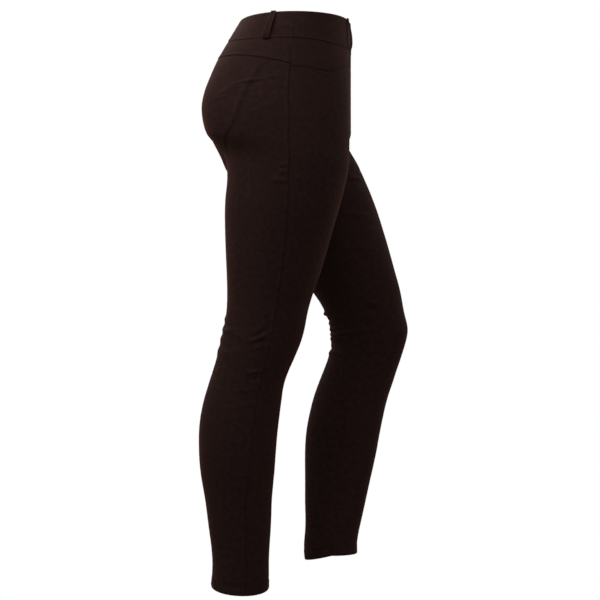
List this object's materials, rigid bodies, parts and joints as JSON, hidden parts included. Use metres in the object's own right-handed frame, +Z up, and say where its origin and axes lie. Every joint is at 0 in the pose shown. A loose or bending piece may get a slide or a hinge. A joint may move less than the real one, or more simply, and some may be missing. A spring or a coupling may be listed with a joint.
{
  "type": "leggings",
  "caption": "Pull-on skinny leggings of stretch twill with elastic waistband, back yokes, mock scoop pockets and belt loops, hollow, in a standing pose with one leg forward",
  "frame": {"origin": "middle of the waist's top edge, level with it at the side seams", "axes": "+Z up; the wearer faces -Y; the right leg is on the -X side"},
  "size_m": [0.3468, 0.334, 0.9037],
  "materials": {
    "pocket_facing_right_cloth": "matte brown stretch twill",
    "front_right_cloth": "matte brown stretch twill",
    "yoke_right_cloth": "matte brown stretch twill",
    "back_side_right_cloth": "matte brown stretch twill",
    "back_inner_right_cloth": "matte brown stretch twill",
    "belt_loop_front_right_cloth": "matte brown stretch twill",
    "belt_loop_back_right_cloth": "matte brown stretch twill",
    "pocket_facing_left_cloth": "matte brown stretch twill",
    "front_left_cloth": "matte brown stretch twill",
    "yoke_left_cloth": "matte brown stretch twill",
    "back_side_left_cloth": "matte brown stretch twill",
    "back_inner_left_cloth": "matte brown stretch twill",
    "belt_loop_front_left_cloth": "matte brown stretch twill",
    "belt_loop_back_left_cloth": "matte brown stretch twill",
    "waistband_front_cloth": "matte brown stretch twill",
    "waistband_back_cloth": "matte brown stretch twill"
  },
  "bodies": {
    "root": {"pocket_facing_right": "pocket_facing_right_cloth", "front_right": "front_right_cloth", "yoke_right": "yoke_right_cloth", "back_side_right": "back_side_right_cloth", "back_inner_right": "back_inner_right_cloth", "belt_loop_front_right": "belt_loop_front_right_cloth", "belt_loop_back_right": "belt_loop_back_right_cloth", "pocket_facing_left": "pocket_facing_left_cloth", "front_left": "front_left_cloth", "yoke_left": "yoke_left_cloth", "back_side_left": "back_side_left_cloth", "back_inner_left": "back_inner_left_cloth", "belt_loop_front_left": "belt_loop_front_left_cloth", "belt_loop_back_left": "belt_loop_back_left_cloth", "waistband_front": "waistband_front_cloth", "waistband_back": "waistband_back_cloth"}
  },
  "joints": []
}
